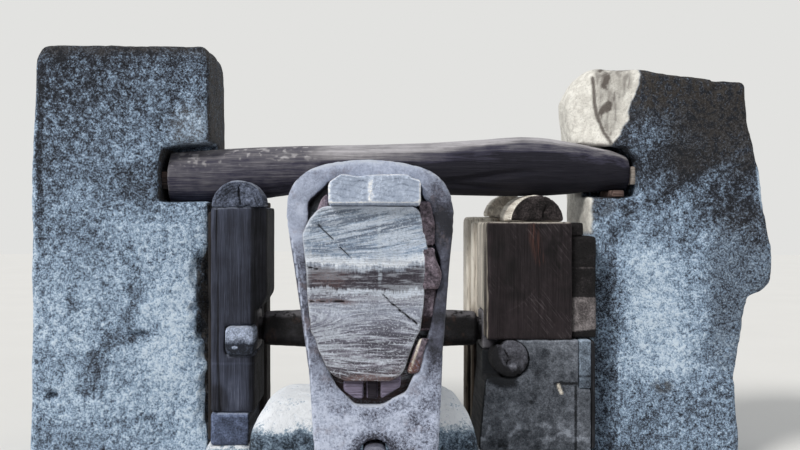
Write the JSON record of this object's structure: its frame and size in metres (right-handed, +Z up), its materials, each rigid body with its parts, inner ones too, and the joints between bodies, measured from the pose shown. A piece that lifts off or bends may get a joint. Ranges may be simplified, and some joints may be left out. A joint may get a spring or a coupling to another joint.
{
  "type": "trip hammer",
  "caption": "Water-mill trip hammer: wedged iron head on a timber helve that rocks on iron trunnions between timber stacks, granite pillars and a log crossbeam.",
  "frame": {"origin": "centre of the bounding box's footprint, on the ground", "axes": "+Z up; +Y from the hammer head towards the helve's tail; +X to the right seen from the head"},
  "size_m": [3.7004, 3.766, 2.115],
  "materials": {
    "pillar_granite": "rough quarried granite, weathered grey",
    "ground_granite": "granite, dusty and worn",
    "beam_log": "barked log, weathered and bleached on top",
    "dark_timber": "old oak, nearly black",
    "stack_timber": "old oak, brown end grain",
    "ashy_timber": "old oak grey with ash",
    "helve_timber": "sawn timber gone grey",
    "wedge_wood": "split oak",
    "forged_iron": "heavy iron, dusted and dull",
    "dark_iron": "forged iron with rust",
    "worked_iron": "iron burnished by hammering"
  },
  "bodies": {
    "frame": {"left_pillar": "pillar_granite", "right_pillar": "pillar_granite", "crossbeam": "beam_log", "beam_packings": "dark_timber", "left_base_stone": "ground_granite", "left_base_block": "dark_timber", "left_post": "dark_timber", "left_post_cap": "ashy_timber", "left_side_board": "dark_timber", "left_bearing_key": "ashy_timber", "left_bearing": "dark_iron", "left_rear_post": "dark_timber", "right_base_stone": "ground_granite", "right_lower_block": "ashy_timber", "right_inset_block": "wedge_wood", "right_bearing_key": "ashy_timber", "right_bearing": "dark_iron", "right_upper_block": "stack_timber", "right_bolster": "dark_timber", "right_rear_plank": "stack_timber", "right_rear_post": "stack_timber", "right_rear_bolster": "beam_log", "right_packers": "stack_timber", "right_side_board": "dark_timber", "anvil_stone": "ground_granite", "anvil_block": "forged_iron", "anvil_die": "worked_iron", "anvil_wedges": "wedge_wood", "back_stone": "ground_granite"},
    "hammer": {"helve": "helve_timber", "hammer_head": "forged_iron", "head_top_wedge": "wedge_wood", "head_side_wedges": "wedge_wood", "head_bottom_shims": "wedge_wood", "hammer_die": "worked_iron", "die_cotter": "dark_iron", "trunnion_ring": "dark_iron", "ring_wedges": "dark_iron", "tail_bands": "dark_iron", "neck_band": "dark_iron", "tail_shoe": "worked_iron"}
  },
  "joints": [
    {"name": "helve_pivot", "type": "hinge", "parent": "frame", "child": "hammer", "pos_m": [-0.14855, 0.62699, 0.69], "axis": [-1, 0, 0], "range_deg": [0, 9]}
  ]
}
